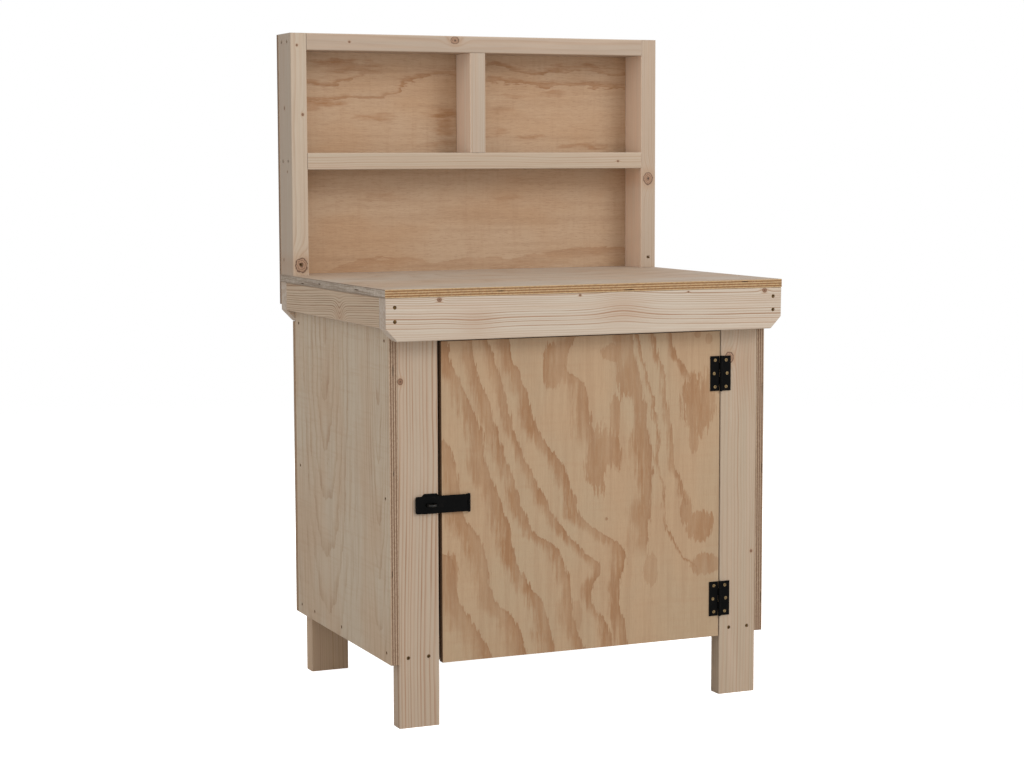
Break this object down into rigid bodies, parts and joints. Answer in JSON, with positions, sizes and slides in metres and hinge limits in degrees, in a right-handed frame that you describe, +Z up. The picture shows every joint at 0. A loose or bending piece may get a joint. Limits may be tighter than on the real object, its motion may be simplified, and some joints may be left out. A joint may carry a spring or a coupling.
{
  "type": "potting bench",
  "caption": "Timber potting bench with a sheet worktop, a cupboard with a hinged door and hasp below, and a raised back frame with a shelf and divider.",
  "frame": {"origin": "on the floor, under the middle of the bench's outer box", "axes": "+X to the right as seen from the front, +Y from the door to the back panel, +Z up"},
  "size_m": [0.918, 0.702, 1.458],
  "materials": {
    "planed_timber": "planed softwood, bare, pale cream with fine grain lines and a few knots",
    "worktop_sheet": "bare softwood plywood, greyish beige, sanded",
    "door_sheet": "bare softwood plywood with flame-shaped figure, sanded",
    "back_sheet": "bare softwood plywood, warm orange-brown, sanded",
    "cupboard_sheet": "bare softwood plywood, greyish beige, faint cathedral figure",
    "black_steel": "satin black powder coat",
    "brass_screw": "dull brass",
    "zinc_screw": "yellow zinc plated steel, dark in its countersunk hole"
  },
  "bodies": {
    "bench": {"worktop": "worktop_sheet", "front_apron": "planed_timber", "rear_apron": "planed_timber", "left_top_rail": "planed_timber", "right_top_rail": "planed_timber", "front_left_leg": "planed_timber", "front_right_leg": "planed_timber", "rear_left_leg": "planed_timber", "rear_right_leg": "planed_timber", "left_lower_rail": "planed_timber", "right_lower_rail": "planed_timber", "front_lower_rail": "planed_timber", "rear_lower_rail": "planed_timber", "left_side_panel": "cupboard_sheet", "right_side_panel": "cupboard_sheet", "lower_back_panel": "cupboard_sheet", "cupboard_floor": "cupboard_sheet", "left_upright": "planed_timber", "right_upright": "planed_timber", "top_rail": "planed_timber", "shelf": "planed_timber", "divider": "planed_timber", "upper_back_panel": "back_sheet", "upper_hinge_frame_leaf": "black_steel", "lower_hinge_frame_leaf": "black_steel", "upper_hinge_pin": "black_steel", "lower_hinge_pin": "black_steel", "hinge_frame_screws": "brass_screw", "staple_plate": "black_steel", "staple": "black_steel", "staple_plate_screws": "black_steel", "apron_screws": "zinc_screw", "leg_top_screws": "zinc_screw", "leg_foot_screws": "zinc_screw", "cross_rail_screws": "zinc_screw", "left_panel_screws": "zinc_screw", "right_panel_screws": "zinc_screw", "lower_back_screws": "zinc_screw", "floor_screws": "zinc_screw", "worktop_screws": "zinc_screw", "upright_side_screws": "zinc_screw", "upright_toe_screws": "zinc_screw", "divider_screws": "zinc_screw", "upper_back_screws": "zinc_screw"},
    "door": {"door_panel": "door_sheet", "upper_hinge_door_leaf": "black_steel", "lower_hinge_door_leaf": "black_steel", "hinge_door_screws": "brass_screw", "hasp_plate": "black_steel", "hasp_pin": "black_steel", "hasp_plate_screws": "black_steel"},
    "hasp_strap": {"hasp_strap": "black_steel"}
  },
  "joints": [
    {"name": "door_hinge", "type": "hinge", "parent": "bench", "child": "door", "pos_m": [0.32925, -0.3166, 0.463], "axis": [0, 0, 1], "range_deg": [0, 170]},
    {"name": "hasp_hinge", "type": "hinge", "parent": "door", "child": "hasp_strap", "pos_m": [-0.264, -0.3166, 0.466], "axis": [0, 0, 1], "range_deg": [0, 170]}
  ]
}
